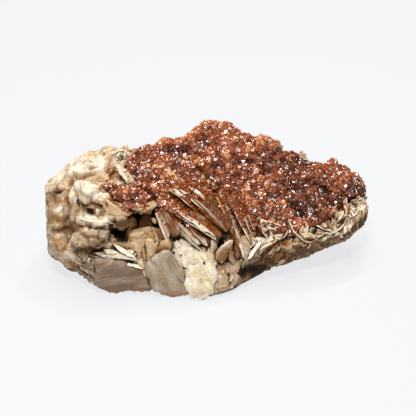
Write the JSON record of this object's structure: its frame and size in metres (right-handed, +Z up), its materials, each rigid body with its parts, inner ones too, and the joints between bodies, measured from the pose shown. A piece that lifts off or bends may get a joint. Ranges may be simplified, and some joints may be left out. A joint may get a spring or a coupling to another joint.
{
  "type": "vanadinite on barite specimen",
  "caption": "Lump of white tabular barite with a sheaf of upright blades and an open hollow at its front, crusted on top with small red-brown vanadinite prisms.",
  "frame": {"origin": "on the flat spot that the specimen rests on, below the middle of its length", "axes": "+X to the right along the lump, seen from its open front; +Y to its back; +Z up, away from the flat spot"},
  "size_m": [0.1033, 0.0566, 0.0414],
  "materials": {
    "barite_rock": "rough cream-white barite rock, stained tan and brown",
    "barite_blades": "pearly cream barite blades with brown-stained faces and white edges",
    "vanadinite_crystals": "glossy red-brown crust of fine six-sided prisms"
  },
  "bodies": {
    "root": {"barite_matrix": "barite_rock", "fan_blade_1": "barite_blades", "fan_blade_2": "barite_blades", "fan_blade_3": "barite_blades", "fan_blade_4": "barite_blades", "fan_blade_5": "barite_blades", "fan_blade_6": "barite_blades", "fan_blade_7": "barite_blades", "fan_blade_8": "barite_blades", "fan_blade_9": "barite_blades", "stem_blade": "barite_blades", "leaf_blade": "barite_blades", "tongue_plate": "barite_blades", "shell_plate": "barite_blades", "grey_plate": "barite_blades", "vanadinite_crust": "vanadinite_crystals", "vanadinite_ledge_patch": "vanadinite_crystals"}
  },
  "joints": []
}
